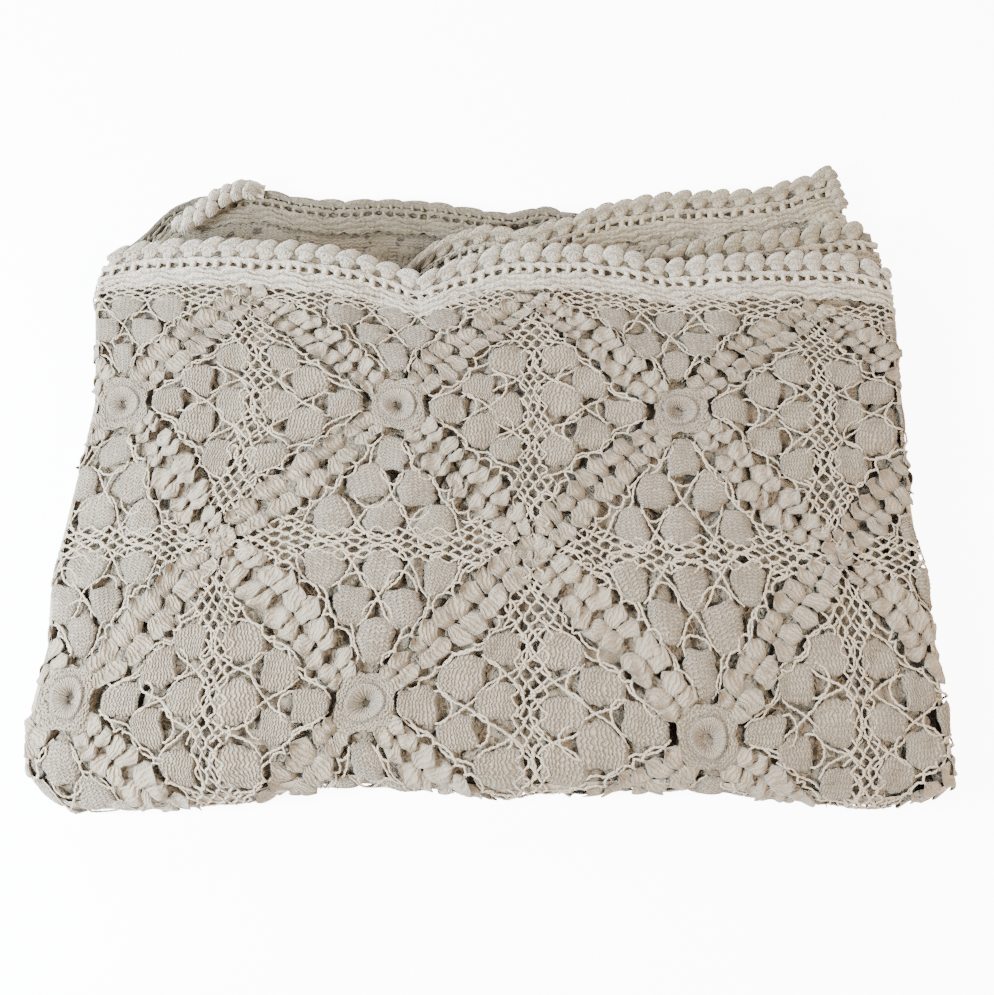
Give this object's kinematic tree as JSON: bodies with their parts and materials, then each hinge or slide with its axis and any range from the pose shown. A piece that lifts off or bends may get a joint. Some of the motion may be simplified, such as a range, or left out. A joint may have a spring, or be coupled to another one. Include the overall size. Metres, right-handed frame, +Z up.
{
  "type": "folded crochet bedspread",
  "caption": "Folded crochet bedspread lying flat: a doubled openwork cloth folded back and forth, with a scalloped eyelet edging stepping back along one side.",
  "frame": {"origin": "centre of the bounding box's underside, on the flat underside of the bottom ply", "axes": "+X along the pile's width, from one folded side to the other; +Y from the doubled edge towards the edging; +Z up through the plies"},
  "size_m": [0.504, 0.42, 0.0376],
  "materials": {
    "cotton": "matte",
    "edging": "matte"
  },
  "bodies": {
    "root": {"bedspread_cloth": "cotton", "edging_upper_half": "edging", "edging_lower_half": "edging"}
  },
  "joints": []
}
